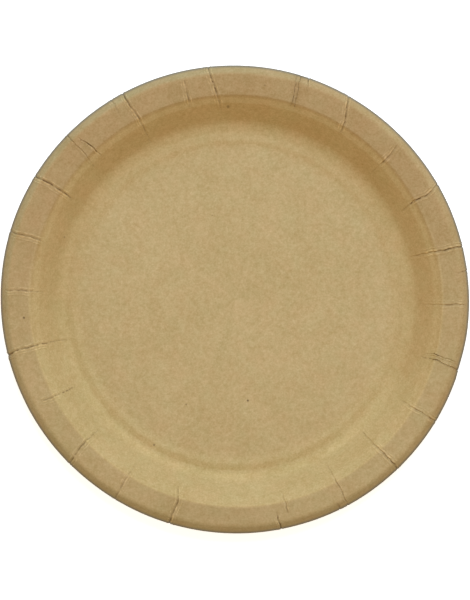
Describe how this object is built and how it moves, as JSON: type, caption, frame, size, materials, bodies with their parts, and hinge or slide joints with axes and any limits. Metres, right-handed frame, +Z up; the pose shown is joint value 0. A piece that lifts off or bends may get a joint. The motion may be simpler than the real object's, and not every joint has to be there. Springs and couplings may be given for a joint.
{
  "type": "paper plate",
  "caption": "Round pressed kraft board plate: flat floor with a raised bead, steep wall, narrow ledge, level flange, turned-down lip and pressed pleats round the rim.",
  "frame": {"origin": "middle of the underside, on the surface that the plate stands on", "axes": "+Z up through the plate's middle, out of the dish; the picture's right is +X and its top is +Y"},
  "size_m": [0.2304, 0.23, 0.0156],
  "materials": {
    "kraft_board": "unbleached kraft board, uncoated, matt with a faint press polish"
  },
  "bodies": {
    "root": {"plate": "kraft_board"}
  },
  "joints": []
}
